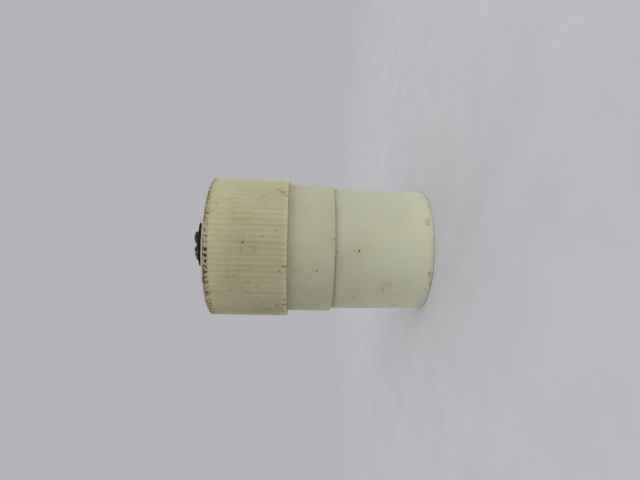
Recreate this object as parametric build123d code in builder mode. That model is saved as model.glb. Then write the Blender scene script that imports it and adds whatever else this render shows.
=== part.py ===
from build123d import *
import os
from math import cos, radians, sin

os.makedirs("parts", exist_ok=True)

# A locking cord connector, stood on its mating face, with a cut cord in its cable end.
# Sizes are in millimetres. Z runs up the axis from the mating face to the cable end.

# Front housing, the plain barrel that carries the slotted face
body_length = 32.7
body_front_radius = 21.5
body_flare = 0.5
body_edge_round = 0.5
body_wall = 2.0
face_thickness = 5.0
spigot_length = 4.0
spigot_wall = 1.2
key_width = 3.0
key_depth = 1.0
key_angle = 60

# Curved blade slots of the mating face
pole_angles = {"ground": 90, "line": 330, "neutral": 210}
slot_inset = 9.1
slot_width = 2.3
slot_half_angle = 31
notch_width = 2.2
notch_depth = 1.8

# Screws that draw the two housings together from the mating face
body_screw_angles = [30, 150, 270]
body_screw_inset = 3.9
body_screw_radius = 1.7
body_screw_head_radius = 2.9
body_screw_head_height = 1.9
body_screw_head_sink = 0.6
body_screw_grip = 7.0
boss_radius = 3.2
driver_slot_width = 0.9
driver_slot_depth = 1.0

# Insulating block that holds the contacts
block_height = 24.0
pocket_play = 0.2
recess_width = 10.8

# Contacts, bent from brass sheet
leaf_thickness = 0.8
leaf_length = 12.0
leaf_half_angle = 22
leaf_gap = 2.0
base_thickness = 1.2
tab_thickness = 1.2
tab_width = 8.8
tab_height = 10.0
tab_corner = 1.1
leaf_setback = 1.0

# Terminal screws and their pressure plates
terminal_screw_radius = 1.9
terminal_head_radius = 3.2
terminal_head_height = 1.8
terminal_height = 6.2
terminal_head_taper = 8
plate_thickness = 1.0
plate_width = 8.0
plate_height = 7.4
plate_corner = 1.0

# Rear housing, a collar with a neck that the clamp nut runs on
collar_length = 15.5
collar_step = 1.0
collar_edge_round = 0.5
shoulder_length = 1.2
neck_step = 2.6
neck_chamfer = 0.5
relief_depth = 0.8
relief_length = 2.0
neck_wall = 2.9
chamber_depth = 16.3
throat_length = 3.0
mouth_wall = 3.8

# Rubber bushing and slip washer that grip the cord
bushing_wall = 3.75
bushing_stand_out = 4.4
bushing_step = 0.2
washer_inset = 2.7
washer_thickness = 1.5

# Clamp nut, ribbed all round for the hand
nut_length = 26.9
nut_step = 2.0
nut_taper = 0.1
nut_end_wall = 3.0
nut_edge_round = 0.45
nut_lip = 0.75
nut_snap_depth = 0.4
nut_snap_length = 2.2
nut_hole_chamfer = 0.8
rib_count = 82
rib_depth = 0.14
groove_width = 1.2
groove_floor = 0.6

# Cord, cut off short behind the nut
jacket_radius = 7.25
jacket_wall = 2.4
jacket_stand_out = 5.1
jacket_entry = 2.0
filler_stand_out = 1.0
conductor_radius = 2.05
strand_radius = 1.05
lay_inset = 0.25
stripped_length = 8.0
fan_bend = 6.0
fan_lead = 3.5
fan_start = 6.0
bare_strand = 1.0
cut_stand_out = {"ground": 1.2, "line": 2.5, "neutral": 1.9}

# Clearances
seat_play = 0.03
turn_play = 0.05
washer_play = 0.25
face_gap = 0.15
screw_play = 0.2
head_gap = 0.5
cord_play = 1.05

# Radii that follow from the sizes above
bore_radius = body_front_radius - body_wall
body_rear_radius = body_front_radius + body_flare
spigot_radius = bore_radius + spigot_wall
block_radius = bore_radius - seat_play
body_screw_circle = bore_radius - body_screw_inset
collar_radius = body_rear_radius + collar_step
neck_radius = collar_radius - neck_step
chamber_radius = neck_radius - neck_wall
mouth_radius = neck_radius - mouth_wall
throat_radius = jacket_radius + bushing_wall
bushing_top_radius = mouth_radius - bushing_step
cord_hole_radius = jacket_radius + cord_play
washer_radius = neck_radius - washer_inset
nut_front_radius = collar_radius + nut_step
nut_rear_radius = nut_front_radius - nut_taper
nut_snap_radius = washer_radius - nut_snap_depth
slot_radius = bore_radius - slot_inset
outer_leaf = slot_radius + leaf_gap / 2
inner_leaf = slot_radius - leaf_gap / 2
plate_face = bore_radius - head_gap - terminal_head_height
plate_seat = plate_face - plate_thickness
tab_face = plate_seat - 2 * strand_radius - 2 * seat_play
tab_radius = tab_face - tab_thickness
strand_offset = terminal_screw_radius + strand_radius + 2 * seat_play
strand_level = tab_face + strand_radius + seat_play
jacket_bore = jacket_radius - jacket_wall
lay_radius = jacket_bore - conductor_radius - lay_inset

# Heights that follow from the sizes above
spigot_top = body_length + spigot_length
contact_base = face_thickness + leaf_setback + leaf_length
terminal_level = contact_base + terminal_height
strand_end = terminal_level - plate_height / 2
insulation_end = strand_end + stripped_length
nut_bottom = body_length + collar_length
shoulder_top = nut_bottom + shoulder_length
relief_top = shoulder_top + relief_length
nut_top = nut_bottom + nut_length
end_wall_bottom = nut_top - nut_end_wall
washer_bottom = end_wall_bottom - face_gap - washer_thickness
bushing_top = washer_bottom - face_gap / 2
neck_top = bushing_top - bushing_stand_out
chamber_top = spigot_top + chamber_depth
seat_bottom = chamber_top + throat_length
jacket_top = nut_top + jacket_stand_out
jacket_bottom = chamber_top - jacket_entry
fan_top = jacket_bottom - fan_start
fan_bottom = insulation_end + fan_lead


def pole_frame(angle):
    """The frame of one pole, with X pointing outwards at its angle and Z up the axis."""
    return Plane((0, 0, 0), (cos(radians(angle)), sin(radians(angle)), 0), (0, 0, 1))


def facing_out(frame, radius, side, height):
    """A plane across the radius of a pole, with its normal outwards and its Y up."""
    centre = frame.from_local_coords(Vector(radius, side, height))
    return Plane(centre, frame.y_dir, frame.x_dir)


def arc_strip(inner, outer, half_angle):
    """A piece of a flat ring, centred on X."""
    with BuildSketch() as strip:
        with BuildLine():
            near = CenterArc((0, 0), inner, -half_angle, 2 * half_angle)
            far = CenterArc((0, 0), outer, -half_angle, 2 * half_angle)
            Line(near @ 0, far @ 0)
            Line(near @ 1, far @ 1)
        make_face()
    return strip.sketch


def write(shape, label):
    """Names a finished piece and writes its file."""
    shape.label = label
    export_step(shape, f"parts/{label}.step")


# Front housing

with BuildPart() as front_housing:
    with BuildSketch(Plane.XZ):
        with BuildLine():
            Polyline(
                (0, 0),
                (body_front_radius, 0),
                (body_rear_radius, body_length),
                (spigot_radius, body_length),
                (spigot_radius, spigot_top),
                (bore_radius, spigot_top),
                (bore_radius, face_thickness),
                (0, face_thickness),
                close=True,
            )
        make_face()
    revolve(axis=Axis.Z)
    fillet(front_housing.edges().group_by(Axis.Z)[0], body_edge_round)
    # A rib in the bore keys the contact block
    with BuildSketch(pole_frame(key_angle).offset(face_thickness)):
        with Locations((bore_radius + spigot_wall / 2, 0)):
            Rectangle(key_depth + spigot_wall / 2, key_width, align=(Align.MAX, Align.CENTER))
    extrude(amount=block_height)
    # The three curved slots
    for angle in pole_angles.values():
        with BuildSketch(pole_frame(angle)):
            add(arc_strip(slot_radius - slot_width / 2, slot_radius + slot_width / 2, slot_half_angle))
        extrude(amount=face_thickness, mode=Mode.SUBTRACT)
    # The ground slot turns outwards at one end
    with BuildSketch(pole_frame(pole_angles["ground"] + slot_half_angle)):
        with Locations((slot_radius, 0)):
            Rectangle(
                slot_width / 2 + notch_depth, notch_width, align=(Align.MIN, Align.MAX)
            )
    extrude(amount=face_thickness, mode=Mode.SUBTRACT)
    # Counterbored holes for the body screws, entered from the mating face
    for angle in body_screw_angles:
        mouth = pole_frame(angle).from_local_coords(Vector(body_screw_circle, 0, 0))
        with Locations(Plane(mouth, z_dir=(0, 0, -1))):
            CounterBoreHole(
                body_screw_radius + screw_play,
                body_screw_head_radius + screw_play,
                body_screw_head_sink + body_screw_head_height,
                face_thickness,
            )
write(front_housing.part, "front_housing")


# Insulating block

with BuildPart() as contact_block:
    with BuildSketch(Plane.XY.offset(face_thickness)):
        Circle(block_radius)
    extrude(amount=block_height)
    with BuildSketch(pole_frame(key_angle).offset(face_thickness)):
        with Locations((bore_radius, 0)):
            Rectangle(2 * (key_depth + pocket_play), key_width + 2 * pocket_play)
    extrude(amount=block_height, mode=Mode.SUBTRACT)
    for angle in pole_angles.values():
        # A curved pocket for the leaves, open to the slot
        with BuildSketch(pole_frame(angle).offset(face_thickness)):
            add(
                arc_strip(
                    inner_leaf - leaf_thickness - pocket_play,
                    outer_leaf + leaf_thickness + pocket_play,
                    slot_half_angle,
                )
            )
        extrude(amount=contact_base + base_thickness - face_thickness, mode=Mode.SUBTRACT)
        # A straight channel that the tab slides up
        with BuildSketch(pole_frame(angle).offset(face_thickness)):
            with Locations((slot_radius, 0)):
                Rectangle(
                    tab_face + pocket_play - slot_radius,
                    tab_width + 2 * pocket_play,
                    align=(Align.MIN, Align.CENTER),
                )
        extrude(amount=contact_base + base_thickness - face_thickness, mode=Mode.SUBTRACT)
        with BuildSketch(pole_frame(angle).offset(contact_base)):
            with Locations((tab_radius, 0)):
                Rectangle(
                    body_front_radius,
                    recess_width,
                    align=(Align.MIN, Align.CENTER),
                )
        extrude(amount=block_height, mode=Mode.SUBTRACT)
    for angle in body_screw_angles:
        with BuildSketch(pole_frame(angle).offset(face_thickness)):
            with Locations((body_screw_circle, 0)):
                Circle(body_screw_radius + screw_play)
        extrude(amount=block_height, mode=Mode.SUBTRACT)
write(contact_block.part, "contact_block")


# Contacts, terminal screws and pressure plates of the three poles


def make_contact(pole, angle):
    """Two curved leaves on a base, with a tapped tab that stands behind them."""
    frame = pole_frame(angle)
    with BuildPart() as contact:
        with BuildSketch(frame.offset(contact_base - leaf_length)):
            add(arc_strip(inner_leaf - leaf_thickness, inner_leaf, leaf_half_angle))
            add(arc_strip(outer_leaf, outer_leaf + leaf_thickness, leaf_half_angle))
        extrude(amount=leaf_length)
        with BuildSketch(frame.offset(contact_base)):
            add(arc_strip(inner_leaf - leaf_thickness, outer_leaf + leaf_thickness, leaf_half_angle))
            with Locations((slot_radius, 0)):
                Rectangle(
                    tab_face - slot_radius,
                    tab_width,
                    align=(Align.MIN, Align.CENTER),
                )
        extrude(amount=base_thickness)
        with BuildSketch(facing_out(frame, tab_radius, 0, contact_base)):
            Rectangle(tab_width, tab_height, align=(Align.CENTER, Align.MIN))
        extrude(amount=tab_thickness)
        with BuildSketch(facing_out(frame, tab_radius, 0, terminal_level)):
            Circle(terminal_screw_radius + seat_play)
        extrude(amount=tab_thickness, mode=Mode.SUBTRACT)
        corners = contact.edges().filter_by(Axis((0, 0, 0), frame.x_dir))
        fillet(corners.group_by(Axis.Z)[-1], tab_corner)
    write(contact.part, f"{pole}_contact")


def make_terminal_screw(pole, angle):
    """A pan head screw with a straight driver slot, pointing in at the axis."""
    frame = pole_frame(angle)
    head_face = plate_face + terminal_head_height
    with BuildPart() as screw:
        with BuildSketch(facing_out(frame, plate_face, 0, terminal_level)):
            Circle(terminal_head_radius)
        extrude(amount=terminal_head_height, taper=terminal_head_taper)
        with BuildSketch(facing_out(frame, plate_face, 0, terminal_level)):
            Circle(terminal_screw_radius)
        extrude(amount=tab_radius - plate_face)
        with BuildSketch(facing_out(frame, head_face - driver_slot_depth, 0, terminal_level)):
            Rectangle(2 * terminal_head_radius, driver_slot_width)
        extrude(amount=terminal_head_height, mode=Mode.SUBTRACT)
    write(screw.part, f"{pole}_terminal_screw")


def make_pressure_plate(pole, angle):
    """A square clamping plate under the head of a terminal screw."""
    frame = pole_frame(angle)
    with BuildPart() as plate:
        with BuildSketch(facing_out(frame, plate_seat, 0, terminal_level)):
            RectangleRounded(plate_width, plate_height, plate_corner)
            Circle(terminal_screw_radius + screw_play, mode=Mode.SUBTRACT)
        extrude(amount=plate_thickness)
    write(plate.part, f"{pole}_pressure_plate")


for pole, angle in pole_angles.items():
    make_contact(pole, angle)
    make_terminal_screw(pole, angle)
    make_pressure_plate(pole, angle)


# Body screws, three alike

screw_tip = spigot_top + body_screw_grip
screw_seat = body_screw_head_sink + body_screw_head_height

with BuildPart() as body_screws:
    for angle in body_screw_angles:
        with BuildSketch(pole_frame(angle).offset(body_screw_head_sink)):
            with Locations((body_screw_circle, 0)):
                Circle(body_screw_head_radius)
        extrude(amount=body_screw_head_height)
        with BuildSketch(pole_frame(angle).offset(screw_seat)):
            with Locations((body_screw_circle, 0)):
                Circle(body_screw_radius)
        extrude(amount=screw_tip - screw_seat)
        with BuildSketch(pole_frame(angle).offset(body_screw_head_sink)):
            with Locations((body_screw_circle, 0)):
                Rectangle(2 * body_screw_head_radius, driver_slot_width)
        extrude(amount=driver_slot_depth, mode=Mode.SUBTRACT)
write(body_screws.part, "body_screws")


# Rear housing

with BuildPart() as rear_housing:
    with BuildSketch(Plane.XZ):
        with BuildLine():
            Polyline(
                (0, body_length),
                (collar_radius, body_length),
                (collar_radius, shoulder_top),
                (neck_radius - relief_depth, shoulder_top),
                (neck_radius - relief_depth, relief_top),
                (neck_radius, relief_top),
                (neck_radius, neck_top),
                (0, neck_top),
                close=True,
            )
        make_face()
    revolve(axis=Axis.Z)
    rims = rear_housing.edges().filter_by(GeomType.CIRCLE).group_by(SortBy.RADIUS)[-1]
    fillet(rims, collar_edge_round)
    chamfer(rear_housing.edges().group_by(Axis.Z)[-1], neck_chamfer)
    # The bore, from the spigot's seat through the chamber and throat to the flared mouth
    with BuildSketch(Plane.XZ):
        with BuildLine():
            Polyline(
                (0, body_length),
                (spigot_radius + seat_play, body_length),
                (spigot_radius + seat_play, spigot_top),
                (chamber_radius, spigot_top),
                (chamber_radius, chamber_top),
                (throat_radius, chamber_top),
                (throat_radius, seat_bottom),
                (mouth_radius, neck_top),
                (0, neck_top),
                close=True,
            )
        make_face()
    revolve(axis=Axis.Z, mode=Mode.SUBTRACT)
    # Bosses that take the body screws
    for angle in body_screw_angles:
        with BuildSketch(pole_frame(angle).offset(spigot_top)):
            with Locations((body_screw_circle, 0)):
                Circle(boss_radius)
                with Locations((boss_radius, 0)):
                    Rectangle(2 * boss_radius, 2 * boss_radius)
            Circle(chamber_radius + seat_play, mode=Mode.INTERSECT)
        extrude(amount=chamber_depth)
        with BuildSketch(pole_frame(angle).offset(spigot_top)):
            with Locations((body_screw_circle, 0)):
                Circle(body_screw_radius + seat_play)
        extrude(amount=body_screw_grip + screw_play, mode=Mode.SUBTRACT)
write(rear_housing.part, "rear_housing")


# Cord grip

bushing_foot = throat_radius - seat_play
bushing_shoulder = mouth_radius - seat_play

with BuildPart() as grip_bushing:
    with BuildSketch(Plane.XZ):
        with BuildLine():
            Polyline(
                (jacket_radius + seat_play, seat_bottom),
                (bushing_foot, seat_bottom),
                (bushing_shoulder, neck_top),
                (bushing_top_radius, neck_top),
                (bushing_top_radius, bushing_top),
                (jacket_radius + seat_play, bushing_top),
                close=True,
            )
        make_face()
    revolve(axis=Axis.Z)
write(grip_bushing.part, "grip_bushing")

with BuildPart() as thrust_washer:
    with BuildSketch(Plane.XY.offset(washer_bottom)):
        Circle(washer_radius)
        Circle(cord_hole_radius, mode=Mode.SUBTRACT)
    extrude(amount=washer_thickness)
write(thrust_washer.part, "thrust_washer")


# Clamp nut

nut_bore = neck_radius + turn_play
skirt_bore = collar_radius + turn_play
skirt_top = shoulder_top + face_gap
pocket_bottom = washer_bottom - face_gap
snap_bottom = pocket_bottom - nut_snap_length
rib_top = nut_top - nut_lip

with BuildPart() as clamp_nut:
    with BuildSketch(Plane.XZ):
        with BuildLine():
            Polyline(
                (nut_bore, skirt_top),
                (skirt_bore, skirt_top),
                (skirt_bore, nut_bottom),
                (nut_front_radius, nut_bottom),
                (nut_rear_radius, nut_top),
                (cord_hole_radius, nut_top),
                (cord_hole_radius, end_wall_bottom),
                (washer_radius + washer_play, end_wall_bottom),
                (washer_radius + washer_play, pocket_bottom),
                (nut_snap_radius, pocket_bottom),
                (nut_snap_radius, snap_bottom),
                (nut_bore, snap_bottom),
                close=True,
            )
        make_face()
    revolve(axis=Axis.Z)
    front_rims = clamp_nut.edges().group_by(Axis.Z)[0].sort_by(SortBy.RADIUS)
    rear_rims = clamp_nut.edges().group_by(Axis.Z)[-1].sort_by(SortBy.RADIUS)
    chamfer(rear_rims[0], nut_hole_chamfer)
    fillet([front_rims[-1], rear_rims[-1]], nut_edge_round)
    # Grooves between the ribs, stopped short of the rear edge by a plain lip
    with BuildSketch(Plane.XY.offset(nut_bottom)):
        with PolarLocations(nut_rear_radius - rib_depth, rib_count):
            Polygon(
                (0, -groove_floor / 2),
                (rib_depth, -groove_width / 2),
                (2 * rib_depth, -groove_width / 2),
                (2 * rib_depth, groove_width / 2),
                (rib_depth, groove_width / 2),
                (0, groove_floor / 2),
                align=None,
            )
    extrude(amount=rib_top - nut_bottom, mode=Mode.SUBTRACT)
write(clamp_nut.part, "clamp_nut")


# Cord jacket and filler

with BuildPart() as cord_jacket:
    with BuildSketch(Plane.XY.offset(jacket_bottom)):
        Circle(jacket_radius)
        Circle(jacket_bore, mode=Mode.SUBTRACT)
    extrude(amount=jacket_top - jacket_bottom)
write(cord_jacket.part, "cord_jacket")

with BuildPart() as cord_filler:
    with BuildSketch(Plane.XY.offset(jacket_bottom)):
        Circle(jacket_bore - seat_play)
        for angle in pole_angles.values():
            with Locations(pole_frame(angle).from_local_coords(Vector(lay_radius, 0, 0))):
                Circle(conductor_radius + seat_play, mode=Mode.SUBTRACT)
    extrude(amount=jacket_top + filler_stand_out - jacket_bottom)
write(cord_filler.part, "cord_filler")


# Conductors, from the cut end through the fan out to the terminals


def make_conductor(pole, angle):
    """An insulated conductor and the copper strand inside it, on one path."""
    frame = pole_frame(angle)
    cut = jacket_top + cut_stand_out[pole]

    def place(across, side, height):
        return frame.from_local_coords(Vector(across, side, height))

    with BuildPart() as strand:
        with BuildLine():
            FilletPolyline(
                place(lay_radius, 0, cut),
                place(lay_radius, 0, fan_top),
                place(strand_level, strand_offset, fan_bottom),
                place(strand_level, strand_offset, strand_end),
                radius=fan_bend,
            )
        with BuildSketch(Plane(place(lay_radius, 0, cut), frame.x_dir, (0, 0, -1))):
            Circle(strand_radius)
        sweep()
    write(strand.part, f"{pole}_strand")

    with BuildPart() as insulation:
        with BuildLine():
            FilletPolyline(
                place(lay_radius, 0, cut - bare_strand),
                place(lay_radius, 0, fan_top),
                place(strand_level, strand_offset, fan_bottom),
                place(strand_level, strand_offset, insulation_end),
                radius=fan_bend,
            )
        with BuildSketch(Plane(place(lay_radius, 0, cut - bare_strand), frame.x_dir, (0, 0, -1))):
            Circle(conductor_radius)
            Circle(strand_radius + seat_play, mode=Mode.SUBTRACT)
        sweep()
    write(insulation.part, f"{pole}_insulation")


for pole, angle in pole_angles.items():
    make_conductor(pole, angle)
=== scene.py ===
import math
import random

import bmesh
import bpy
from mathutils import Matrix, Vector, noise


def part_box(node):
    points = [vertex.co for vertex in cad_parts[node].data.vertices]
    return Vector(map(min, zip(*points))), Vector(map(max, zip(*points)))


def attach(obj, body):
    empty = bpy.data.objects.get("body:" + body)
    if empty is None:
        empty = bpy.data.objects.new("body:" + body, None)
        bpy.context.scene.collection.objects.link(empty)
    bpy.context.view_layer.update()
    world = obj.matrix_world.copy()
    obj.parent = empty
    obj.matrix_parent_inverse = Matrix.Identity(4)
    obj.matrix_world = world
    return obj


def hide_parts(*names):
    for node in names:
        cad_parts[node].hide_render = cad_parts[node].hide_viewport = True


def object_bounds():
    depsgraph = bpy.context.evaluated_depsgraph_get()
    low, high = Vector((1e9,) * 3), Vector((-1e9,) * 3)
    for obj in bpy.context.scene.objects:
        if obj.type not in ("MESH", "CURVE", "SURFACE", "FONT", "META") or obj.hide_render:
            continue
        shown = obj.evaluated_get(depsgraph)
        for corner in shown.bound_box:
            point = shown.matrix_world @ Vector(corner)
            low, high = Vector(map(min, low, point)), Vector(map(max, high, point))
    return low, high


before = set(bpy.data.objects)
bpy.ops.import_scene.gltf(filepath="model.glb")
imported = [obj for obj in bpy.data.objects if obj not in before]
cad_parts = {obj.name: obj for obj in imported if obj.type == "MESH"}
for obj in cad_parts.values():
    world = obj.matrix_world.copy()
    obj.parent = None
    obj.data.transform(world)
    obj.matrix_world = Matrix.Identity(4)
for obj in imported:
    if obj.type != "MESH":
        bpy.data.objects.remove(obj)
cad_low, cad_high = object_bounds()

MM = 0.001
TAU = 2 * math.pi

# Heights and radii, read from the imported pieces
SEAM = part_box("rear_housing")[0].z
NECK_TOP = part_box("rear_housing")[1].z
NUT_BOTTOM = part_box("clamp_nut")[0].z
NUT_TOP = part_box("clamp_nut")[1].z
NUT_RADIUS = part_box("clamp_nut")[1].y
COLLAR_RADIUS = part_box("rear_housing")[1].y
BARREL_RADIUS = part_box("front_housing")[1].y
JACKET_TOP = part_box("cord_jacket")[1].z
JACKET_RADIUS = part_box("cord_jacket")[1].y

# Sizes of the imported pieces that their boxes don't show
NUT_TAPER = 0.1 * MM
LIP_LENGTH = 0.75 * MM
BARREL_TAPER = 0.5 * MM
HOLE_RADIUS = 8.3 * MM
NUT_REAR_RADIUS = NUT_RADIUS - NUT_TAPER
RIB_TOP = NUT_TOP - LIP_LENGTH
FACE_RADIUS = BARREL_RADIUS - BARREL_TAPER

# The photograph's camera: the connector lies on its side there, so the camera lies on its side here
PHOTO_WIDTH = 640
PHOTO_HEIGHT = 480
FOCAL_PX = 437
SENSOR = 36
CLIP_START = 0.005
CLIP_END = 20
CAMERA_DISTANCE = 162.5 * MM
CAMERA_FOOT = 43.5 * MM
CAMERA_YAW = math.radians(2.36)
CAMERA_PITCH = math.radians(1.04)
CAMERA_ROLL = math.radians(1.3)


def camera_matrix():
    """Looks along +Y, with +X up in the picture and +Z to its left."""
    right = Vector((0, 0, -1))
    up = Vector((1, 0, 0))
    back = Vector((0, -1, 0))
    turn = (
        Matrix.Rotation(-CAMERA_YAW, 3, up)
        @ Matrix.Rotation(CAMERA_PITCH, 3, right)
        @ Matrix.Rotation(CAMERA_ROLL, 3, back)
    )
    matrix = Matrix([turn @ axis for axis in (right, up, back)]).transposed().to_4x4()
    matrix.translation = Vector((0, -CAMERA_DISTANCE, CAMERA_FOOT))
    return matrix


CAMERA = camera_matrix()


def add_object(name, data):
    made = bpy.data.objects.new(name, data)
    bpy.context.scene.collection.objects.link(made)
    return made


def make_camera():
    data = bpy.data.cameras.new("camera")
    data.sensor_width = SENSOR
    data.lens = FOCAL_PX / PHOTO_WIDTH * SENSOR
    data.clip_start = CLIP_START
    data.clip_end = CLIP_END
    camera = add_object("camera", data)
    camera.matrix_world = CAMERA
    bpy.context.scene.camera = camera


make_camera()


# Places on the connector, by the photograph's pixels

def on_surface(across, down, radius):
    """The point of a round surface about the axis that shows at a pixel of the photograph.

    A pixel beside the surface gives the point of its ray that passes nearest to the axis.
    """
    ray = CAMERA.to_3x3() @ Vector(
        ((across - PHOTO_WIDTH / 2) / FOCAL_PX, (PHOTO_HEIGHT / 2 - down) / FOCAL_PX, -1)
    )
    start = CAMERA.translation
    a = ray.x**2 + ray.y**2
    b = start.x * ray.x + start.y * ray.y
    c = start.x**2 + start.y**2 - radius**2
    step = (-b - math.sqrt(max(b * b - a * c, 0))) / a
    return start + step * ray


def on_barrel(across, down):
    """The point of the barrel there, which narrows towards its face."""
    height = on_surface(across, down, BARREL_RADIUS).z
    return on_surface(across, down, FACE_RADIUS + (BARREL_RADIUS - FACE_RADIUS) * height / SEAM)


def on_collar(across, down):
    return on_surface(across, down, COLLAR_RADIUS)


def on_nut(across, down):
    return on_surface(across, down, NUT_RADIUS)


def on_nut_rear(across, down):
    return on_surface(across, down, NUT_REAR_RADIUS)


# Materials

def srgb(red, green, blue):
    """A colour given as it looks on a screen, 0 to 255, in the linear values that shaders take."""
    out = []
    for value in (red, green, blue):
        value /= 255
        out.append(value / 12.92 if value <= 0.04045 else ((value + 0.055) / 1.055) ** 2.4)
    return (*out, 1)


class Shader:
    """A material's node tree, built by short calls, and its colour so far."""

    def __init__(self, name, colour):
        self.material = bpy.data.materials.new(name)
        self.material.use_nodes = True
        self.tree = self.material.node_tree
        self.surface = self.tree.nodes["Principled BSDF"]
        self.place = self.node("ShaderNodeTexCoord").outputs["Object"]
        self.colour = colour

    def node(self, kind, **settings):
        made = self.tree.nodes.new(kind)
        for key, value in settings.items():
            setattr(made, key, value)
        return made

    def put(self, socket, value):
        if isinstance(value, bpy.types.NodeSocket):
            self.tree.links.new(value, socket)
        else:
            socket.default_value = value

    def math(self, operation, *values):
        made = self.node("ShaderNodeMath", operation=operation)
        for socket, value in zip(made.inputs, values):
            self.put(socket, value)
        return made.outputs[0]

    def product(self, first, *others):
        for other in others:
            first = self.math("MULTIPLY", first, other)
        return first

    def axes(self):
        """A point's X, which the photograph shows as up, its Y, and its height on the connector."""
        parts = self.node("ShaderNodeSeparateXYZ")
        self.put(parts.inputs[0], self.place)
        return parts.outputs

    def radius(self):
        """A point's distance from the connector's axis."""
        x, y, _ = self.axes()
        return self.math("SQRT", self.math("ADD", self.product(x, x), self.product(y, y)))

    def noise(self, scale, detail, rough=0.5, stretch=None):
        where = self.place
        if stretch:
            mapping = self.node("ShaderNodeMapping")
            mapping.inputs["Scale"].default_value = stretch
            self.put(mapping.inputs["Vector"], where)
            where = mapping.outputs[0]
        made = self.node("ShaderNodeTexNoise")
        self.put(made.inputs["Vector"], where)
        made.inputs["Scale"].default_value = scale
        made.inputs["Detail"].default_value = detail
        made.inputs["Roughness"].default_value = rough
        return made.outputs["Fac"]

    def ramp(self, value, low, high, start=0.0, end=1.0):
        """Runs smoothly from start to end while value runs from low to high."""
        made = self.node("ShaderNodeMapRange", interpolation_type="SMOOTHSTEP")
        self.put(made.inputs["Value"], value)
        made.inputs["From Min"].default_value = low
        made.inputs["From Max"].default_value = high
        made.inputs["To Min"].default_value = start
        made.inputs["To Max"].default_value = end
        return made.outputs[0]

    def patches(self, scale, detail, low, high, start=0.0, end=1.0, **noise):
        """Runs smoothly from start to end while a noise runs from low to high."""
        return self.ramp(self.noise(scale, detail, **noise), low, high, start, end)

    def near(self, point, inner, outer):
        """One within the inner distance from a point, running to nothing at the outer one."""
        gap = self.node("ShaderNodeVectorMath", operation="DISTANCE")
        self.put(gap.inputs[0], self.place)
        gap.inputs[1].default_value = point
        return self.ramp(gap.outputs["Value"], inner, outer, 1.0, 0.0)

    def band(self, value, level, inner, outer, share=1.0):
        """A share within the inner distance from a level, running to nothing at the outer one."""
        gap = self.math("ABSOLUTE", self.math("SUBTRACT", value, level))
        return self.ramp(gap, inner, outer, share, 0.0)

    def tint(self, colour, *shares):
        """Mixes a colour over what is there, by the product of the shares."""
        made = self.node("ShaderNodeMix", data_type="RGBA")
        self.put(made.inputs[0], self.product(*shares))
        self.put(made.inputs[6], self.colour)
        self.put(made.inputs[7], colour)
        self.colour = made.outputs[2]

    def bump(self, height, distance, strength, under=None):
        made = self.node("ShaderNodeBump")
        made.inputs["Strength"].default_value = strength
        made.inputs["Distance"].default_value = distance
        self.put(made.inputs["Height"], height)
        if under:
            self.put(made.inputs["Normal"], under)
        return made.outputs[0]

    def finish(self, **values):
        """Fills the surface's sockets, whose names have a space for each underscore."""
        self.put(self.surface.inputs["Base Color"], self.colour)
        for key, value in values.items():
            self.put(self.surface.inputs[key.replace("_", " ")], value)
        return self.material


# Marks and stains on the nylon, by the photograph's pixels: across, down, size in mm, strength,
# and for a mark whether it is black or brown
BARREL_MARKS = [
    (359.3, 251, 0.34, 1.0, "black"),
    (354.5, 250.5, 0.26, 0.35, "brown"),
    (354.5, 297.5, 0.40, 0.7, "brown"),
    (383, 289.5, 0.34, 0.6, "brown"),
    (390, 285, 0.38, 0.35, "brown"),
    (387, 283.5, 0.20, 0.3, "brown"),
    (381, 282.5, 0.28, 0.35, "brown"),
    (429.5, 273.3, 0.62, 0.28, "brown"),
    (430.3, 283.5, 0.32, 0.6, "brown"),
    (430.6, 280.5, 0.20, 0.5, "brown"),
    (430.2, 287.5, 0.24, 0.4, "brown"),
    (428.2, 206.6, 0.28, 0.8, "brown"),
    (426, 205, 0.18, 0.5, "brown"),
    (428.8, 218.5, 0.50, 0.25, "brown"),
    (427.0, 224.3, 0.30, 0.5, "brown"),
    (429.4, 225.0, 0.40, 0.25, "brown"),
    (370, 201, 0.18, 0.45, "brown"),
    (355, 217, 0.16, 0.3, "brown"),
    (337, 253, 0.26, 0.5, "brown"),
    (336.8, 225, 0.24, 0.4, "brown"),
    (392, 305, 0.30, 0.3, "brown"),
]
BARREL_STAINS = [
    (357, 250, 2.6, 0.45),
    (428, 222, 2.0, 0.6),
    (384, 287, 3.6, 0.30),
    (408, 282, 2.6, 0.16),
    (430, 274, 1.8, 0.5),
    (337, 253, 1.6, 0.4),
    (422, 198, 2.2, 0.3),
    (392, 305, 2.0, 0.3),
]
COLLAR_MARKS = [
    (293.5, 271, 0.20, 0.8, "brown"),
    (296.2, 271.3, 0.18, 0.7, "brown"),
    (316.8, 271, 0.24, 1.0, "black"),
    (334.2, 239, 0.24, 0.8, "brown"),
    (332, 222, 0.18, 0.4, "brown"),
    (299, 248, 0.14, 0.3, "brown"),
]
COLLAR_STAINS = [
    (332, 240, 2.0, 0.35),
    (296, 272, 1.5, 0.25),
]
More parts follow.
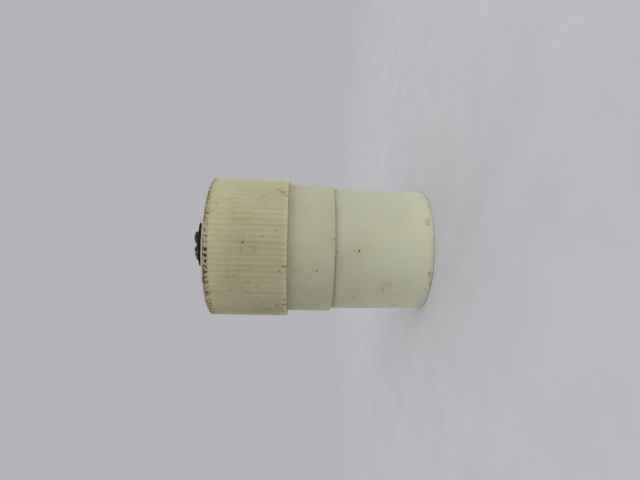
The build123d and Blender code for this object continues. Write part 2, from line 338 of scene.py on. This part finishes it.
NUT_MARKS = [
    (242.5, 242.7, 0.36, 1.0, "black"),
    (262.3, 236.5, 0.34, 0.9, "brown"),
    (276, 230.3, 0.30, 0.6, "brown"),
    (281, 225, 0.20, 0.5, "brown"),
    (283.3, 266.6, 0.38, 1.0, "black"),
    (284, 305, 0.40, 1.0, "black"),
    (284, 299.5, 0.34, 0.7, "brown"),
    (240.3, 306.4, 0.30, 0.8, "brown"),
    (264.6, 310, 0.36, 0.9, "black"),
    (258, 193, 0.16, 0.5, "brown"),
    (260, 208.5, 0.16, 0.4, "brown"),
    (234, 242.5, 0.26, 0.4, "brown"),
    (245, 199, 0.14, 0.4, "brown"),
    (279, 271.5, 0.40, 0.5, "brown"),
    (281.5, 191.5, 0.36, 0.6, "brown"),
    (284.0, 192.6, 0.90, 0.35, "brown"),
    (279.0, 189.6, 0.80, 0.25, "brown"),
    (286.0, 195.0, 0.70, 0.25, "brown"),
    (285.3, 190.3, 0.30, 0.7, "brown"),
    (288.7, 191.3, 0.34, 1.0, "black"),
    (288.3, 187, 0.30, 0.8, "brown"),
    (277, 188.5, 0.22, 0.5, "brown"),
    (289.5, 183.5, 0.40, 0.9, "brown"),
    (286.7, 233.5, 0.26, 0.7, "black"),
    (286.5, 240.0, 0.22, 0.6, "black"),
    (286.3, 246.5, 0.20, 0.5, "brown"),
    (286.1, 262.5, 0.24, 0.6, "brown"),
    (286.1, 271.5, 0.26, 0.8, "black"),
    (286.1, 279.0, 0.24, 0.7, "black"),
    (286.1, 284.0, 0.20, 0.5, "brown"),
    (285.9, 299.5, 0.28, 0.8, "black"),
]
# Dirt packed into the ends of the grooves against the lip
LIP_MARKS = [
    (213.0, 183.0, 0.46, 1.0, "black"),
    (210.9, 188.0, 0.40, 1.0, "black"),
    (209.9, 191.4, 0.38, 1.0, "black"),
    (208.8, 195.2, 0.26, 0.7, "brown"),
    (208.4, 199.3, 0.30, 0.8, "black"),
    (207.2, 203.2, 0.30, 0.9, "black"),
    (205.2, 216.8, 0.26, 0.7, "black"),
    (205.3, 249.6, 0.52, 1.0, "black"),
    (205.1, 255.7, 0.48, 1.0, "black"),
    (208.2, 254.9, 0.18, 0.5, "brown"),
    (210.8, 254.4, 0.22, 0.6, "brown"),
    (205.0, 261.1, 0.46, 1.0, "black"),
    (206.0, 267.7, 0.32, 0.8, "black"),
    (203.7, 268.9, 0.34, 1.0, "brown"),
    (203.6, 271.0, 0.36, 1.0, "brown"),
    (203.8, 273.4, 0.32, 0.9, "brown"),
    (206.1, 272.2, 0.30, 0.7, "black"),
    (207.9, 281.3, 0.26, 0.7, "brown"),
    (207.6, 287.2, 0.28, 0.7, "black"),
    (209.8, 293.1, 0.28, 0.7, "brown"),
    (208.2, 296.0, 0.28, 0.7, "black"),
    (209.0, 300.1, 0.28, 0.7, "black"),
    (210.0, 303.6, 0.26, 0.6, "brown"),
    (212.2, 306.2, 0.24, 0.5, "brown"),
]
NUT_STAINS = [
    (284, 190, 3.4, 0.55),
    (290, 184, 2.0, 0.7),
    (281, 271, 2.4, 0.40),
    (278, 230, 1.8, 0.35),
    (242, 282, 3.6, 0.30),
    (252, 276, 3.0, 0.30),
    (283, 303, 2.0, 0.35),
]
BLACK_DIRT = srgb(30, 25, 18)
BROWN_DIRT = srgb(76, 58, 36)
YELLOW_STAIN = srgb(176, 164, 116)
# Grime before the nut's lip, and painted shade on the lip
LIP_GRIME_AND_SHADE = srgb(119, 118, 108)
# A mark is solid up to the first share of its size and gone at the second
MARK_CORE = 0.5
MARK_EDGE = 1.4


def add_marks(shader, marks, stains, place):
    """Specks of dirt and faint stains where the photograph shows them."""
    for across, down, size, strength in stains:
        shader.tint(YELLOW_STAIN, shader.near(place(across, down), 0.0, size * MM), strength)
    for across, down, size, strength, kind in marks:
        spot = shader.near(place(across, down), MARK_CORE * size * MM, MARK_EDGE * size * MM)
        shader.tint(BLACK_DIRT if kind == "black" else BROWN_DIRT, spot, strength)


def aged_nylon(name, light, deep):
    """Soft clouds between two near tones, faint flow marks and fine dust."""
    shader = Shader(name, light)
    shader.tint(deep, shader.patches(70, 2.0, 0.35, 0.68))
    shader.tint(deep, shader.patches(45, 3.0, 0.52, 0.78, 0.0, 0.35, stretch=(1, 1, 0.25)))
    shader.tint(BROWN_DIRT, shader.patches(900, 2.0, 0.70, 0.80, 0.0, 0.22))
    return shader


def nylon_surface(shader, rough, gloss, scatter):
    """Slightly uneven from handling, and letting light some way in."""
    handling = shader.noise(260, 4.0)
    fine = shader.bump(shader.noise(2600, 2.0), 0.01 * MM, 0.5)
    return shader.finish(
        Roughness=shader.ramp(handling, 0.3, 0.7, rough - 0.07, rough + 0.08),
        Normal=shader.bump(handling, 0.05 * MM, 0.35, fine),
        Subsurface_Weight=0.95,
        Subsurface_Radius=(1.0, 0.85, 0.6),
        Subsurface_Scale=scatter,
        Specular_IOR_Level=gloss,
    )


def barrel_material():
    shader = aged_nylon("barrel_nylon", srgb(186, 186, 163), srgb(180, 180, 155))
    up, _, height = shader.axes()
    # Paler towards the mating face: painted light against the floor's shade at that end
    shader.tint(srgb(212, 211, 184), shader.ramp(height, SEAM, 0.0, 0.0, 0.8))
    # Painted shade on the +X side, which the key lamp lights most, but not at the face
    shader.tint(
        srgb(176, 177, 157),
        shader.ramp(up, 0.1 * BARREL_RADIUS, 0.5 * BARREL_RADIUS, 0.0, 0.34),
        shader.ramp(height, 2 * MM, 12 * MM),
    )
    # Painted light at the rim, palest there against the floor's contact shade; yellower beside the
    # collar
    shader.tint(srgb(232, 229, 204), shader.ramp(height, 0.2 * MM, 0.9 * MM, 1.0, 0.0))
    shader.tint(srgb(168, 162, 128), shader.ramp(height, SEAM - 3.0 * MM, SEAM, 0.0, 0.45))
    # Painted light along the edge where the barrel meets the collar, over the shade of the step,
    # with dirt in parts of it
    seam = shader.band(height, SEAM, 0.05 * MM, 0.35 * MM)
    shader.tint(srgb(206, 198, 162), seam, 0.8)
    shader.tint(BROWN_DIRT, seam, shader.patches(150, 3.0, 0.50, 0.72, 0.0, 0.35))
    # Scuffs round the rim
    shader.tint(
        YELLOW_STAIN,
        shader.patches(420, 4.0, 0.60, 0.72),
        shader.ramp(height, 0.4 * MM, 3.5 * MM, 0.6, 0.0),
    )
    add_marks(shader, BARREL_MARKS, BARREL_STAINS, on_barrel)
    return nylon_surface(shader, rough=0.44, gloss=0.28, scatter=8 * MM)


def collar_material():
    shader = aged_nylon("collar_nylon", srgb(174, 174, 150), srgb(168, 167, 142))
    _, _, height = shader.axes()
    # A little paler towards the seam
    shader.tint(srgb(188, 186, 160), shader.ramp(height, NUT_BOTTOM, SEAM, 0.0, 0.5))
    # Painted shadow beside the nut, yellower and darker, then a painted light line under its edge
    shader.tint(
        srgb(158, 151, 116),
        shader.ramp(height, NUT_BOTTOM - 3.4 * MM, NUT_BOTTOM - 0.6 * MM, 0.0, 0.4),
    )
    shader.tint(
        srgb(204, 196, 158),
        shader.ramp(height, NUT_BOTTOM - 1.0 * MM, NUT_BOTTOM - 0.2 * MM, 0.0, 0.8),
    )
    # Warmer and a little dirty at the seam
    shader.tint(srgb(186, 178, 142), shader.ramp(height, SEAM + 1 * MM, SEAM, 0.0, 0.6))
    shader.tint(
        BROWN_DIRT,
        shader.patches(170, 3.0, 0.46, 0.66),
        shader.ramp(height, SEAM + 0.5 * MM, SEAM, 0.0, 0.3),
    )
    add_marks(shader, COLLAR_MARKS, COLLAR_STAINS, on_collar)
    return nylon_surface(shader, rough=0.48, gloss=0.25, scatter=8 * MM)


def nut_material():
    shader = aged_nylon("nut_nylon", srgb(172, 168, 137), srgb(164, 160, 127))
    up, _, height = shader.axes()
    radius = shader.radius()
    # The depth below the crests of the ribs, which taper towards the cable end
    crest = shader.ramp(height, NUT_BOTTOM, NUT_TOP, NUT_RADIUS, NUT_REAR_RADIUS)
    depth = shader.math("SUBTRACT", crest, radius)
    outside = shader.ramp(depth, 0.35 * MM, 0.25 * MM)
    groove = shader.product(
        shader.ramp(depth, 0.03 * MM, 0.11 * MM),
        shader.ramp(depth, 0.25 * MM, 0.35 * MM, 1.0, 0.0),
    )
    end_face = shader.product(
        shader.ramp(height, RIB_TOP + 0.3 * MM, RIB_TOP + 0.7 * MM),
        shader.ramp(radius, NUT_RADIUS - 1.0 * MM, NUT_RADIUS - 2.5 * MM),
    )

    # Paler where the end wall backs it, greyer where the dark inside shows through
    shader.tint(
        srgb(182, 177, 144), shader.ramp(height, NUT_TOP - 11 * MM, NUT_TOP - 6 * MM, 0.0, 0.45)
    )
    shader.tint(srgb(154, 153, 130), shader.near(on_nut(251, 256), 4 * MM, 15 * MM), 0.28)
    # Broad grey patches, and painted light along the open end, paler there
    grey = shader.patches(42, 2.0, 0.46, 0.66, 0.0, 0.20, stretch=(1, 1, 0.7))
    shader.tint(srgb(150, 152, 136), grey)
    open_end_light = shader.ramp(height, NUT_BOTTOM + 2.0 * MM, NUT_BOTTOM, 0.0, 0.8)
    shader.tint(srgb(196, 188, 152), open_end_light)

    # Painted light makes the grooves a little paler against their shade, with old grime in patches
    # along them
    shader.tint(srgb(200, 195, 162), groove, 0.2)
    streaks = shader.patches(240, 3.0, 0.50, 0.75, 0.0, 0.30, stretch=(1, 1, 0.12))
    shader.tint(srgb(146, 138, 104), groove, streaks)

    # Brown smudges, thickest in one place
    smudged = shader.math(
        "MAXIMUM",
        shader.patches(70, 2.0, 0.50, 0.64),
        shader.near(on_nut(243, 281), 2.5 * MM, 9 * MM),
    )
    shader.tint(srgb(120, 104, 72), smudged, shader.patches(620, 3.0, 0.50, 0.68, 0.0, 0.34))

    # Black grime packed into some of the groove ends, against the lip and at the open ends
    grime = shader.noise(420, 2.0)
    rear = shader.product(
        shader.ramp(height, NUT_TOP - 2.3 * MM, NUT_TOP - 1.4 * MM),
        shader.ramp(grime, 0.48, 0.57, 0.0, 0.95),
    )
    front = shader.product(
        shader.ramp(height, NUT_BOTTOM + 1.1 * MM, NUT_BOTTOM + 0.2 * MM),
        shader.ramp(grime, 0.53, 0.62, 0.0, 0.8),
    )
    shader.tint(BLACK_DIRT, shader.math("MAXIMUM", rear, front), groove)

    # Grime in a band before the lip, and painted shade on the lip itself, which is duller
    shader.tint(LIP_GRIME_AND_SHADE, shader.ramp(height, RIB_TOP - 2.2 * MM, RIB_TOP, 0.0, 0.45))
    shader.tint(LIP_GRIME_AND_SHADE, shader.ramp(height, RIB_TOP - 0.1 * MM, RIB_TOP + 0.1 * MM, 0.0, 0.7))

    # Painted shade on both sides: darker and browner on the -X side, greyer and darker on the +X
    # side
    shader.tint(srgb(132, 124, 92), shader.ramp(up, -0.70 * NUT_RADIUS, -NUT_RADIUS, 0.0, 0.68))
    shader.tint(srgb(156, 157, 134), shader.ramp(up, 0.55 * NUT_RADIUS, NUT_RADIUS, 0.0, 0.5))

    # The end face is cleaner than the lip, with grime and dust gathered round the cord's hole
    shader.tint(srgb(176, 171, 144), end_face, 0.55)
    shader.tint(
        srgb(112, 100, 74),
        end_face,
        shader.ramp(radius, HOLE_RADIUS + 4.5 * MM, HOLE_RADIUS, 0.0, 0.8),
        shader.patches(260, 4.0, 0.38, 0.62, 0.25, 1.0),
    )
    spots = shader.patches(340, 5.0, 0.56, 0.68, 0.0, 0.45, rough=0.7)
    shader.tint(srgb(118, 104, 76), end_face, spots)

    # Fine specks before the lip, more of them on the side that the photograph shows at the bottom
    shader.tint(
        BROWN_DIRT,
        shader.patches(1100, 2.0, 0.51, 0.61),
        shader.ramp(height, RIB_TOP - 2.0 * MM, RIB_TOP - 0.3 * MM, 0.0, 0.85),
        shader.ramp(up, 6 * MM, -14 * MM, 0.3, 1.0),
        outside,
    )
    # A thin dark line where the lip meets the ribs
    shader.tint(
        BLACK_DIRT,
        shader.band(height, RIB_TOP, 0.06 * MM, 0.24 * MM, 0.85),
        shader.patches(190, 3.0, 0.40, 0.56, 0.15, 1.0),
        outside,
    )
    add_marks(shader, NUT_MARKS, NUT_STAINS, on_nut)
    add_marks(shader, LIP_MARKS, [], on_nut_rear)
    return nylon_surface(shader, rough=0.6, gloss=0.12, scatter=12 * MM)


def metal_material(name, tone, dull, rough=0.32):
    shader = Shader(name, tone)
    tarnish = shader.patches(380, 4.0, 0.40, 0.70)
    shader.tint(dull, tarnish)
    scratches = shader.noise(900, 2.0, stretch=(1, 1, 0.1))
    return shader.finish(
        Metallic=1.0,
        Roughness=shader.ramp(tarnish, 0.0, 1.0, rough, rough + 0.2),
        Normal=shader.bump(scratches, 0.01 * MM, 0.4),
    )


def plastic_material(name, tone, dull):
    shader = Shader(name, tone)
    shader.tint(dull, shader.patches(300, 4.0, 0.35, 0.7))
    return shader.finish(
        Roughness=shader.patches(700, 2.0, 0.3, 0.7, 0.42, 0.6),
        Normal=shader.bump(shader.noise(1800, 3.0), 0.02 * MM, 0.5),
    )


def rubber_material(name, tone, dust):
    shader = Shader(name, tone)
    shader.tint(dust, shader.patches(330, 5.0, 0.48, 0.75, rough=0.7))
    return shader.finish(
        Roughness=0.8,
        Specular_IOR_Level=0.15,
        Normal=shader.bump(shader.noise(900, 4.0), 0.12 * MM, 0.7),
    )


def insulation_material(name, tone, browned):
    """Rubber in its own colour, browned and blackened towards the cut end."""
    shader = Shader(name, tone)
    _, _, height = shader.axes()
    cut_end = shader.ramp(height, NUT_TOP, NUT_TOP + 4 * MM)
    shader.tint(browned, cut_end)
    shader.tint(srgb(28, 22, 18), shader.patches(620, 3.0, 0.44, 0.56), cut_end, 0.85)
    return shader.finish(
        Roughness=0.7,
        Specular_IOR_Level=0.2,
        Normal=shader.bump(shader.noise(1500, 4.0), 0.15 * MM, 0.8),
    )


MATERIALS = {
    "front_housing": barrel_material(),
    "rear_housing": collar_material(),
    "clamp_nut": nut_material(),
    "contact_block": plastic_material("block_plastic", srgb(44, 40, 36), srgb(62, 56, 50)),
    "body_screws": metal_material("zinc_steel", srgb(170, 170, 168), srgb(120, 116, 108)),
    "grip_bushing": rubber_material("bushing_rubber", srgb(36, 35, 34), srgb(66, 62, 56)),
    "thrust_washer": metal_material("washer_steel", srgb(176, 176, 174), srgb(122, 118, 110)),
    "cord_jacket": rubber_material("jacket_rubber", srgb(24, 20, 17), srgb(48, 42, 34)),
    "cord_filler": rubber_material("filler_fibre", srgb(66, 48, 28), srgb(34, 25, 18)),
    "ground_insulation": insulation_material(
        "green_insulation", srgb(44, 84, 52), srgb(58, 52, 34)
    ),
    "line_insulation": insulation_material(
        "black_insulation", srgb(34, 31, 30), srgb(74, 55, 27)
    ),
    "neutral_insulation": insulation_material(
        "white_insulation", srgb(190, 184, 168), srgb(128, 108, 64)
    ),
}
BRASS = metal_material("contact_brass", srgb(196, 160, 92), srgb(140, 108, 60))
PLATE = metal_material("plate_brass", srgb(186, 152, 92), srgb(132, 104, 60), 0.4)
COPPER = metal_material("tarnished_copper", srgb(128, 78, 44), srgb(66, 46, 28), 0.5)
SCREWS = {
    "ground": metal_material("green_screw", srgb(64, 122, 76), srgb(46, 84, 54), 0.4),
    "line": metal_material("brass_screw", srgb(200, 164, 96), srgb(148, 114, 64)),
    "neutral": metal_material("nickel_screw", srgb(196, 194, 188), srgb(146, 142, 134)),
}
for pole, screw in SCREWS.items():
    MATERIALS[f"{pole}_contact"] = BRASS
    MATERIALS[f"{pole}_pressure_plate"] = PLATE
    MATERIALS[f"{pole}_strand"] = COPPER
    MATERIALS[f"{pole}_terminal_screw"] = screw

SMOOTH_ANGLE = math.radians(32)


def dress(mesh, node_name):
    mesh.materials.append(MATERIALS[node_name])
    mesh.shade_smooth()
    mesh.set_sharp_from_angle(angle=SMOOTH_ANGLE)


for name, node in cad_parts.items():
    node.data.materials.clear()
    dress(node.data, name)


# Pieces rebuilt finer than the CAD gives them, on copies of its meshes


def stand_in(name, node_name, shape):
    """Makes a piece of a changed copy of a CAD mesh, which is then shown in its place."""
    mesh = bpy.data.meshes.new(name)
    shape.to_mesh(mesh)
    shape.free()
    dress(mesh, node_name)
    piece = add_object(name, mesh)
    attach(piece, "housing")
    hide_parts(node_name)


def copied(node_name):
    shape = bmesh.new()
    shape.from_mesh(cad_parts[node_name].data)
    return shape


def cut_above(shape, height):
    bmesh.ops.bisect_plane(
        shape,
        geom=[*shape.verts, *shape.edges, *shape.faces],
        plane_co=(0, 0, height),
        plane_no=(0, 0, 1),
        clear_outer=True,
    )


def add_rings(shape, rings, closed_end=False):
    """Joins rings of points, one above the other, with a wall, and closes the last one if asked."""
    made = [[shape.verts.new(point) for point in ring] for ring in rings]
    for low, high in zip(made, made[1:]):
        for near in range(len(low)):
            far = (near + 1) % len(low)
            shape.faces.new((low[near], low[far], high[far], high[near]))
    if closed_end:
        shape.faces.new(made[-1])


def add_outline(shape, outline, steps, point, closed_end=False):
    """Adds a ring for each pair of an outline, its points given by the pair and their angle."""
    rings = [[point(*pair, TAU * step / steps) for step in range(steps)] for pair in outline]
    add_rings(shape, rings, closed_end)


def around(radius, angle, height, centre=(0, 0)):
    return centre[0] + radius * math.cos(angle), centre[1] + radius * math.sin(angle), height


def wobble(seed, *place):
    """Smooth chance between -1 and 1 that is the same each time."""
    return noise.noise(Vector(place) + Vector((seed, 0, 0)))


# The neck, with its right-hand thread cut, which shows when the nut is run up

THREAD_PITCH = 3.0 * MM
THREAD_DEPTH = 0.8 * MM
# The thread runs out over this length at both ends of the neck
THREAD_FADE = 0.5 * MM
THREAD_STEPS = 120
# The share of a pitch at each corner of the thread's profile, and the share of its depth there
THREAD_PROFILE = [(0.0, 0.0), (0.3, 0.0), (0.48, 1.0), (0.82, 1.0), (1.0, 0.0)]
NECK_RADIUS = 20.4 * MM
NECK_LOW = SEAM + 18.7 * MM
NECK_HIGH = NECK_TOP - 0.5 * MM
NECK_SLACK = 0.1 * MM
# A face is part of a wall round the axis if its normal leans less than this
WALL_LEAN = 0.1
WELD = 0.001 * MM


def thread_cut(share):
    """How deep the thread is at a share of its pitch, from 0 on the crest to 1 at the root."""
    share %= 1
    for (start, low), (end, high) in zip(THREAD_PROFILE, THREAD_PROFILE[1:]):
        if share <= end:
            return low + (high - low) * (share - start) / (end - start)


def thread_point(angle_share, pitch_share):
    height = min(max(NECK_LOW + THREAD_PITCH * (pitch_share + angle_share), NECK_LOW), NECK_HIGH)
    fade = min((height - NECK_LOW) / THREAD_FADE, (NECK_HIGH - height) / THREAD_FADE, 1)
    cut = thread_cut((height - NECK_LOW) / THREAD_PITCH - angle_share) * fade
    return around(NECK_RADIUS - THREAD_DEPTH * cut, TAU * angle_share, height)


def make_threaded_housing():
    shape = copied("rear_housing")
    plain = []
    for face in shape.faces:
        middle = face.calc_center_median()
        wall = abs(face.normal.z) < WALL_LEAN and middle.xy.length > NECK_RADIUS - NECK_SLACK
        if wall and NECK_LOW < middle.z < NECK_HIGH:
            plain.append(face)
    bmesh.ops.delete(shape, geom=plain, context="FACES")
    turns = math.ceil((NECK_HIGH - NECK_LOW) / THREAD_PITCH)
    corners = [share for share, _ in THREAD_PROFILE[:-1]]
    rows = [turn + share for turn in range(-1, turns) for share in corners] + [turns]
    columns = [
        [shape.verts.new(thread_point(step / THREAD_STEPS, row)) for row in rows]
        for step in range(THREAD_STEPS + 1)
    ]
    for near, far in zip(columns, columns[1:]):
        for row in range(len(rows) - 1):
            shape.faces.new((near[row], far[row], far[row + 1], near[row + 1]))
    bmesh.ops.remove_doubles(shape, verts=shape.verts, dist=WELD)
    stand_in("threaded_housing", "rear_housing", shape)


# The cut end of the cord: torn rubber, browned filler, and wires that stand out of their
# insulation. An outline gives each ring's share of the radius or wall, and of the height

CUT_START = NUT_TOP - 1.0 * MM
CUT_STEPS = 96
JACKET_BORE = 4.85 * MM
JACKET_TORN = 0.5 * MM
JACKET_ROUGH = 0.16 * MM
# How far the cut has drawn the rubber out along the cord, and flared it all round
JACKET_DRAWN = 1.0 * MM
JACKET_FLARE = 0.35 * MM
# How far the jacket is pressed outwards on one side, at which angle, and how sharply that rises:
# only its very end is wider than the nut's hole, so that the nut clears it when it is run up
JACKET_SWELL = 1.1 * MM
SWELL_ANGLE = math.radians(-10)
SWELL_RISE = 8
# Up the outside, over the torn end and down into the bore
JACKET_OUTLINE = [
    *[(1, 0), (1, 0.3), (1, 0.55), (1, 0.75), (1, 0.9), (0.93, 0.99), (0.78, 1)],
    *[(0.55, 0.97), (0.3, 0.93), (0.08, 0.88), (0, 0.75), (0, 0)],
]


def make_torn_jacket():
    shape = copied("cord_jacket")
    cut_above(shape, CUT_START)

    def point(across, up, angle):
        x, y = math.cos(angle), math.sin(angle)
        torn = JACKET_TORN * (0.5 + 0.5 * wobble(3, 2 * x, 2 * y, 2 * across))
        top = JACKET_TOP + JACKET_DRAWN * (1 + min(y, 0)) - torn * up
        swell = JACKET_FLARE * up
        swell += max(math.cos(angle - SWELL_ANGLE), 0) ** 2 * JACKET_SWELL * up**SWELL_RISE
        rough = JACKET_ROUGH * wobble(5, 5 * x, 5 * y, 6 * across + 3 * up) * up
        radius = JACKET_BORE + (JACKET_RADIUS - JACKET_BORE) * across + swell * across + rough
        return around(radius, angle, CUT_START + (top - CUT_START) * up)

    add_outline(shape, JACKET_OUTLINE, CUT_STEPS, point)
    stand_in("torn_jacket", "cord_jacket", shape)


# Rings up the filler's wall, then inwards across its top
FILLER_OUTLINE = [(1, 0), (1, 0.75), (0.94, 0.9)] + [(share / 20, 1) for share in range(17, 0, -2)]
LUMP_HEIGHT = 0.5 * MM
LUMP_SIZE = 1.6 * MM
GRAIN_SIZE = 0.5 * MM
# A tuft of the filler that stands up between two conductors
TUFT = Vector((-1.5 * MM, -2.9 * MM))
TUFT_WIDTH = 1.3 * MM
TUFT_TOP = JACKET_TOP + 2.0 * MM
# One makes a cone, and less makes it blunter
TUFT_POINT = 0.6


def make_rough_filler():
    shape = copied("cord_filler")
    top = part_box("cord_filler")[1].z
    cut_above(shape, CUT_START)

    def point(across, up, angle):
        x, y, _ = around(JACKET_BORE * across, angle, 0)
        lump = wobble(11, x / LUMP_SIZE, y / LUMP_SIZE, 0)
        lump += 0.5 * wobble(12, x / GRAIN_SIZE, y / GRAIN_SIZE, 0)
        tuft = max(1 - (Vector((x, y)) - TUFT).length / TUFT_WIDTH, 0) ** TUFT_POINT
        height = CUT_START + (top - CUT_START) * up + LUMP_HEIGHT * lump * up
        return x, y, height + (TUFT_TOP - top) * tuft * up

    add_outline(shape, FILLER_OUTLINE, CUT_STEPS, point, closed_end=True)
    stand_in("rough_filler", "cord_filler", shape)


WIRE_START = NUT_TOP + 0.5 * MM
STRAND_RADIUS = 1.05 * MM
# How far the free ends of the conductors have spread from the axis
SPREAD = {"ground": 0.5 * MM, "line": 0.5 * MM, "neutral": 1.3 * MM}
WIRE_RADIUS = 0.19 * MM
WIRE_SIDES = 6
WIRE_STEPS = 5
# Round the middle wire: how many in each ring, and the ring's share of the strand's radius
WIRE_RINGS = [(6, 0.42), (12, 0.82)]
# At its end a wire leans outwards by a share of its own distance from the middle wire, and
# drifts to the sides by shares of the strand's radius
WIRE_LEAN = (0.2, 0.6)
WIRE_DRIFT = (-0.2, 0.2)
# Wires end at different heights, and the outer ones lower
WIRE_SHORTFALL = 0.5 * MM
WIRE_DOME = 0.35 * MM


def conductor_centre(pole):
    """Where a conductor's cut end is, from the corners of that end."""
    corners = [v.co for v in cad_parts[f"{pole}_strand"].data.vertices]
    high = max(co.z for co in corners)
    end = [co for co in corners if co.z > high - 0.01 * MM]
    return sum(co.x for co in end) / len(end), sum(co.y for co in end) / len(end), high


def spread(pole, centre_x, centre_y, share):
    """The middle of a conductor at a share of its free length."""
    out = 1 + SPREAD[pole] / math.hypot(centre_x, centre_y) * share**2
    return centre_x * out, centre_y * out


def make_frayed_strand(pole, chance):
    centre_x, centre_y, top = conductor_centre(pole)
    shape = copied(f"{pole}_strand")
    cut_above(shape, WIRE_START)
    spots = [(0, 0)]
    for count, share in WIRE_RINGS:
        spots += [around(share, TAU * wire / count, 0)[:2] for wire in range(count)]
    for u, v in spots:
        lean = chance.uniform(*WIRE_LEAN)
        drift_x = chance.uniform(*WIRE_DRIFT)
        drift_y = chance.uniform(*WIRE_DRIFT)
        end = top - chance.uniform(0.0, WIRE_SHORTFALL) - WIRE_DOME * (u * u + v * v)
        rings = []
        for step in range(WIRE_STEPS + 1):
            share = step / WIRE_STEPS
            x, y = spread(pole, centre_x, centre_y, share)
            x += STRAND_RADIUS * (u + (u * lean + drift_x) * share**2)
            y += STRAND_RADIUS * (v + (v * lean + drift_y) * share**2)
            height = WIRE_START + (end - WIRE_START) * share
            rings.append(
                [
                    around(WIRE_RADIUS, TAU * side / WIRE_SIDES, height, (x, y))
                    for side in range(WIRE_SIDES)
                ]
            )
        add_rings(shape, rings, closed_end=True)
    stand_in(f"{pole}_frayed_strand", f"{pole}_strand", shape)


INSULATION_STEPS = 32
INSULATION_RADIUS = 2.05 * MM
INSULATION_TORN = 0.5 * MM
INSULATION_ROUGH = 0.32 * MM
# How far the browned insulation has crept up over its wires
BROWNED_END = 0.3 * MM
# Up the outside, which has swollen, and inwards over the end
INSULATION_OUTLINE = [
    *[(1, 0), (1.08, 0.3), (1.2, 0.5), (1.32, 0.65), (1.36, 0.78), (1.28, 0.9), (1.08, 0.97)],
    *[(0.8, 1), (0.5, 1.02), (0.25, 1.03), (0.05, 1.03)],
]


def make_torn_insulation(pole, seed):
    centre_x, centre_y, _ = conductor_centre(pole)
    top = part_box(f"{pole}_insulation")[1].z
    shape = copied(f"{pole}_insulation")
    cut_above(shape, WIRE_START)

    def point(across, up, angle):
        x, y = math.cos(angle), math.sin(angle)
        torn = INSULATION_TORN * wobble(seed, 1.5 * across * x, 1.5 * across * y, 0)
        rough = INSULATION_ROUGH * wobble(seed + 5, 2 * x, 2 * y, 3 * up) * up
        height = WIRE_START + (top + BROWNED_END - torn * up - WIRE_START) * up
        radius = INSULATION_RADIUS * across + rough * min(across, 1)
        return around(radius, angle, height, spread(pole, centre_x, centre_y, up))

    add_outline(shape, INSULATION_OUTLINE, INSULATION_STEPS, point, closed_end=True)
    stand_in(f"{pole}_torn_insulation", f"{pole}_insulation", shape)


make_threaded_housing()
make_torn_jacket()
make_rough_filler()
chance = random.Random(7)
for number, pole in enumerate(SCREWS, 1):
    make_frayed_strand(pole, chance)
    make_torn_insulation(pole, 20 * number)


# Stage: a pale floor that fades into the backdrop, and soft studio light

BACKDROP = srgb(180, 180, 184)
STUDIO_LIGHT = srgb(247, 247, 242)
STUDIO_STRENGTH = 0.70
FLOOR_RADIUS = 1.4
FLOOR_SEGMENTS = 96
FLOOR_FADE_START = 0.06
FLOOR_FADE_END = 0.42


def make_floor():
    mesh = bpy.data.meshes.new("floor")
    shape = bmesh.new()
    bmesh.ops.create_circle(shape, cap_ends=True, segments=FLOOR_SEGMENTS, radius=FLOOR_RADIUS)
    shape.to_mesh(mesh)
    shape.free()
    shader = Shader("floor_paper", srgb(204, 205, 213))
    shader.tint(srgb(208, 209, 217), shader.patches(60, 3.0, 0.3, 0.7))
    paper = shader.finish(
        Roughness=0.9,
        Specular_IOR_Level=0.1,
        Alpha=shader.ramp(shader.radius(), FLOOR_FADE_START, FLOOR_FADE_END, 1.0, 0.0),
    )
    mesh.materials.append(paper)
    floor = add_object("floor", mesh)


def make_world():
    world = bpy.data.worlds.new("studio")
    bpy.context.scene.world = world
    world.use_nodes = True
    tree = world.node_tree
    tree.nodes.clear()
    out = tree.nodes.new("ShaderNodeOutputWorld")
    light = tree.nodes.new("ShaderNodeBackground")
    shown = tree.nodes.new("ShaderNodeBackground")
    choose = tree.nodes.new("ShaderNodeMixShader")
    rays = tree.nodes.new("ShaderNodeLightPath")
    light.inputs["Color"].default_value = STUDIO_LIGHT
    light.inputs["Strength"].default_value = STUDIO_STRENGTH
    shown.inputs["Color"].default_value = BACKDROP
    # Seen directly, through something or in a gloss, the world is the plain backdrop
    seen = rays.outputs["Is Camera Ray"]
    for kind in ("Is Glossy Ray", "Is Transmission Ray"):
        either = tree.nodes.new("ShaderNodeMath")
        either.operation = "MAXIMUM"
        tree.links.new(seen, either.inputs[0])
        tree.links.new(rays.outputs[kind], either.inputs[1])
        seen = either.outputs[0]
    tree.links.new(seen, choose.inputs[0])
    tree.links.new(light.outputs[0], choose.inputs[1])
    tree.links.new(shown.outputs[0], choose.inputs[2])
    tree.links.new(choose.outputs[0], out.inputs[0])


def make_light(name, direction, distance, size, power):
    """A round lamp that shines on the middle of the connector from a direction."""
    data = bpy.data.lights.new(name, "AREA")
    data.shape = "DISK"
    data.size = size
    data.energy = power
    light = add_object(name, data)
    aim = Vector((0, 0, (cad_low.z + cad_high.z) / 2))
    away = Vector(direction).normalized()
    light.location = aim + away * distance
    light.rotation_mode = "QUATERNION"
    light.rotation_quaternion = away.to_track_quat("Z", "Y")


make_floor()
make_world()
make_light("key", direction=(0.61, -0.78, 0.14), distance=0.75, size=0.60, power=2.8)
make_light("fill", direction=(-0.10, 0.70, 0.70), distance=0.80, size=0.70, power=0.8)

bpy.context.scene.view_settings.view_transform = "Standard"
